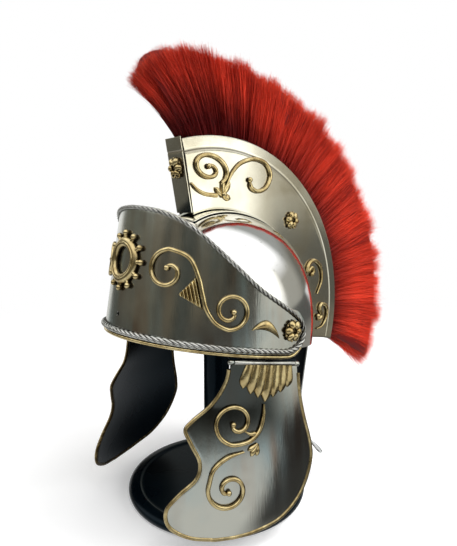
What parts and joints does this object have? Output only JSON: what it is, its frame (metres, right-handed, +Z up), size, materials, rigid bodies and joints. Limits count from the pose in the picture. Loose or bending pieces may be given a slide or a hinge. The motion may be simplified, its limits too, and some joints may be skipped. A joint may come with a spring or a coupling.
{
  "type": "roman legionary helmet on a display stand",
  "caption": "Domed steel helmet with a high ornamented visor, a box crest with a red hair plume, a neck guard and hinged cheek guards, on a plain round display stand.",
  "frame": {"origin": "centre of the round stand's underside, which stands on the table", "axes": "+Z up; the helmet faces -Y and its left side is +X; the helmet leans back by 10.2 degrees on its stand"},
  "size_m": [0.2166, 0.3956, 0.4252],
  "materials": {
    "polished_steel": "polished steel outside, black paint inside",
    "brushed_steel": "fine vertical brushing",
    "bright_steel": "bright satin",
    "crest_steel": "warm satin, rolled band along the rim",
    "gilt_brass": "gilt, dark in the recesses",
    "red_hair": "dyed horsehair, matt sheen",
    "black_lacquer": "gloss black"
  },
  "bodies": {
    "helmet_and_stand": {"bowl": "polished_steel", "nape_guard": "polished_steel", "visor": "brushed_steel", "visor_stud_left": "brushed_steel", "visor_stud_right": "brushed_steel", "visor_rope": "bright_steel", "hinge_pin_left": "bright_steel", "hinge_pin_right": "bright_steel", "hinge_leaf_left": "bright_steel", "hinge_leaf_right": "bright_steel", "crest_side_left": "crest_steel", "crest_side_right": "crest_steel", "crest_front": "crest_steel", "crest_foot": "crest_steel", "visor_trim": "gilt_brass", "sun_ring": "gilt_brass", "front_rosette": "gilt_brass", "visor_scroll_left": "gilt_brass", "visor_scroll_right": "gilt_brass", "fan_leaf_left": "gilt_brass", "fan_leaf_right": "gilt_brass", "crescent_left": "gilt_brass", "crescent_right": "gilt_brass", "visor_rosette_left": "gilt_brass", "visor_rosette_right": "gilt_brass", "crest_spiral_left": "gilt_brass", "crest_spiral_right": "gilt_brass", "crest_tendril_left": "gilt_brass", "crest_tendril_right": "gilt_brass", "crest_stem_left": "gilt_brass", "crest_stem_right": "gilt_brass", "crest_calyx_left": "gilt_brass", "crest_calyx_right": "gilt_brass", "rear_scroll_upper_left": "gilt_brass", "rear_scroll_upper_right": "gilt_brass", "rear_scroll_lower_left": "gilt_brass", "rear_scroll_lower_right": "gilt_brass", "side_rosette_left": "gilt_brass", "side_rosette_right": "gilt_brass", "plume": "red_hair", "stand_base": "black_lacquer", "stand_post": "black_lacquer", "stand_head": "black_lacquer"},
    "cheek_guard_left": {"cheek_plate_left": "brushed_steel", "cheek_hinge_left": "bright_steel", "cheek_trim_left": "gilt_brass", "palmette_left": "gilt_brass", "cheek_scroll_upper_left": "gilt_brass", "cheek_scroll_lower_left": "gilt_brass", "cheek_leaf_left": "gilt_brass"},
    "cheek_guard_right": {"cheek_plate_right": "brushed_steel", "cheek_hinge_right": "bright_steel", "cheek_trim_right": "gilt_brass", "palmette_right": "gilt_brass", "cheek_scroll_upper_right": "gilt_brass", "cheek_scroll_lower_right": "gilt_brass", "cheek_leaf_right": "gilt_brass"}
  },
  "joints": [
    {"name": "cheek_hinge_left_swing", "type": "hinge", "parent": "helmet_and_stand", "child": "cheek_guard_left", "pos_m": [0.0816, -0.05485, 0.162], "axis": [-0.2009, -0.9641, 0.1735], "range_deg": [-26, 90]},
    {"name": "cheek_hinge_right_swing", "type": "hinge", "parent": "helmet_and_stand", "child": "cheek_guard_right", "pos_m": [-0.0816, -0.05485, 0.162], "axis": [-0.2009, 0.9641, -0.1735], "range_deg": [-26, 90]}
  ]
}
